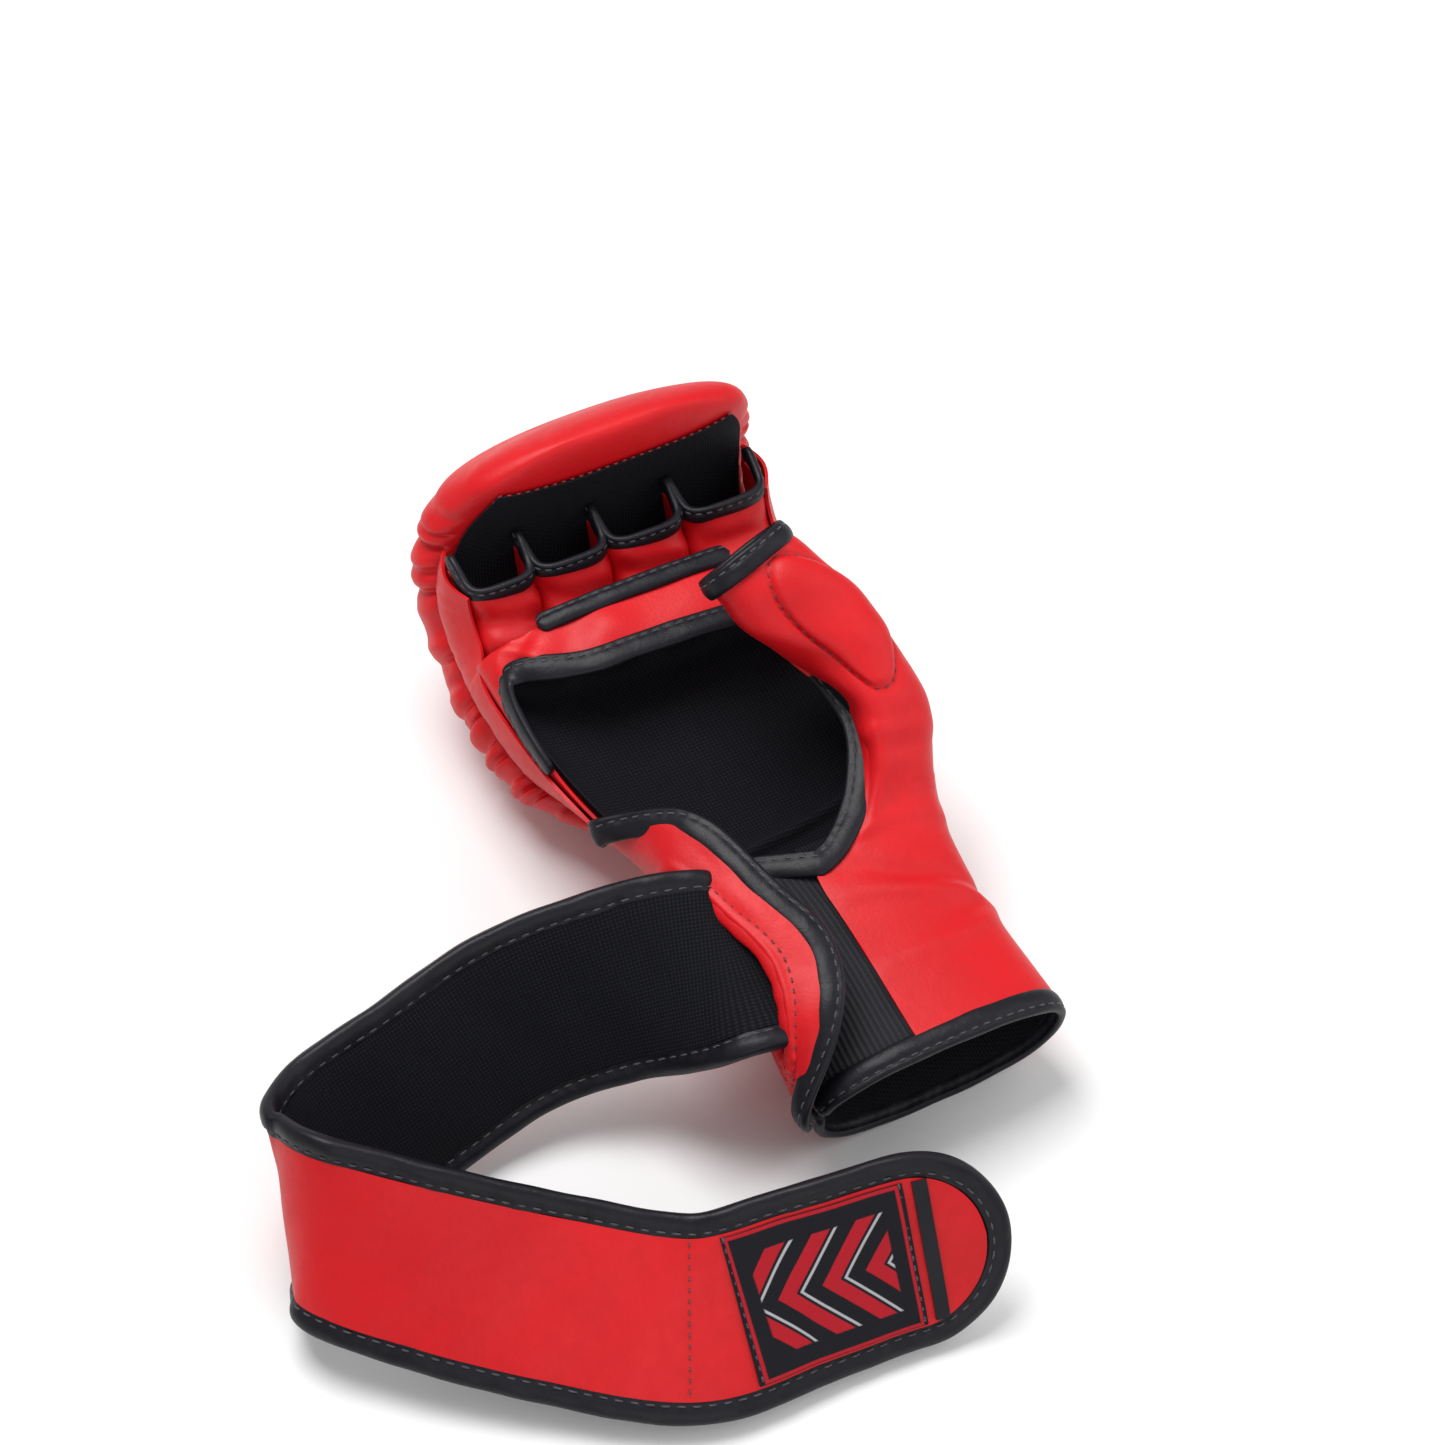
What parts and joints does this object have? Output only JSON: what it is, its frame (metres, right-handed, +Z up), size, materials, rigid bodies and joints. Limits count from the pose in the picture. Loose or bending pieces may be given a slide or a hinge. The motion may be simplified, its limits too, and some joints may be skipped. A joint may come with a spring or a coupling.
{
  "type": "mixed martial arts glove",
  "caption": "Padded open-palm fighting glove for the right hand, curled over finger stalls, with a slotted cuff flap and its long closing strap pulled out and looped.",
  "frame": {"origin": "centre of the underside of the box round the whole object, on the surface it lies on", "axes": "+Z up; +Y along the forearm towards the fingertips; +X towards the thumb; the glove lies on its back with the palm up"},
  "size_m": [0.288, 0.3566, 0.1267],
  "materials": {
    "leather": "matte bright red synthetic leather with a fine grain",
    "edge_tape": "folded black synthetic leather tape, slightly glossy, stitched along its inner edge",
    "knit": "black knitted lining",
    "foam": "moulded soft foam, not seen from outside",
    "elastic": "black ribbed elastic",
    "hook_pile": "black hook tape",
    "loop_pile": "black brushed loop tape",
    "woven_label": null
  },
  "bodies": {
    "hand": {"cuff_hem_binding": "edge_tape", "grip_binding": "edge_tape", "hand_lining": "knit", "little_edge_wall": "leather", "pad_foam_back": "foam", "pad_skin_back": "leather", "palm_band": "leather", "palm_opening_binding": "edge_tape", "palm_side_binding": "edge_tape", "strap_root": "elastic", "thumb_edge_wall": "leather", "thumb_side_lining": "knit", "thumb_side_panel": "leather", "wrist_back_foam": "foam", "wrist_back_lining": "knit", "wrist_back_panel": "leather"},
    "fingers": {"finger_lining": "knit", "index_side_panel": "leather", "index_stall": "leather", "index_stall_binding": "edge_tape", "little_side_panel": "leather", "little_stall": "leather", "little_stall_binding": "edge_tape", "middle_stall": "leather", "middle_stall_binding": "edge_tape", "pad_foam_fingers": "foam", "pad_skin_fingers": "leather", "ring_stall": "leather", "ring_stall_binding": "edge_tape", "tip_lining": "knit"},
    "thumb": {"thumb_back_panel": "leather", "thumb_binding": "edge_tape", "thumb_front_panel": "leather", "thumb_lining": "knit", "thumb_pad": "leather"},
    "flap": {"flap_binding": "edge_tape", "flap_lining": "knit", "flap_panel": "leather", "slot_lip": "leather"},
    "strap_near": {"loop_patch": "loop_pile", "strap_near_binding_lower": "edge_tape", "strap_near_binding_upper": "edge_tape", "strap_near_core": "foam", "strap_near_lining": "knit", "strap_near_skin": "leather"},
    "strap_far": {"hook_patch": "hook_pile", "label_patch": "woven_label", "strap_far_binding_round": "edge_tape", "strap_far_core": "foam", "strap_far_lining": "knit", "strap_far_skin": "leather"}
  },
  "joints": [
    {"name": "knuckle_flex", "type": "hinge", "parent": "hand", "child": "fingers", "pos_m": [0.08487, 0.10574, 0.05231], "axis": [1, 0, 0], "range_deg": [-7, 8]},
    {"name": "thumb_flex", "type": "hinge", "parent": "hand", "child": "thumb", "pos_m": [0.12589, 0.00223, 0.06071], "axis": [0.9542, 0.2388, 0.1801], "range_deg": [-4, 14]},
    {"name": "flap_open", "type": "hinge", "parent": "hand", "child": "flap", "pos_m": [0.03979, -0.03362, 0.04077], "axis": [0.1241, -0.9747, -0.1858], "range_deg": [-6, 20]},
    {"name": "strap_swing", "type": "hinge", "parent": "flap", "child": "strap_near", "pos_m": [0.03741, -0.04901, 0.06229], "axis": [-0.0872, 0.9834, 0.1591], "range_deg": [-3, 20]},
    {"name": "strap_bend", "type": "hinge", "parent": "strap_near", "child": "strap_far", "pos_m": [-0.12813, -0.04828, 0.0344], "axis": [-0.0252, -0.3389, -0.9405], "range_deg": [-4, 30]}
  ]
}
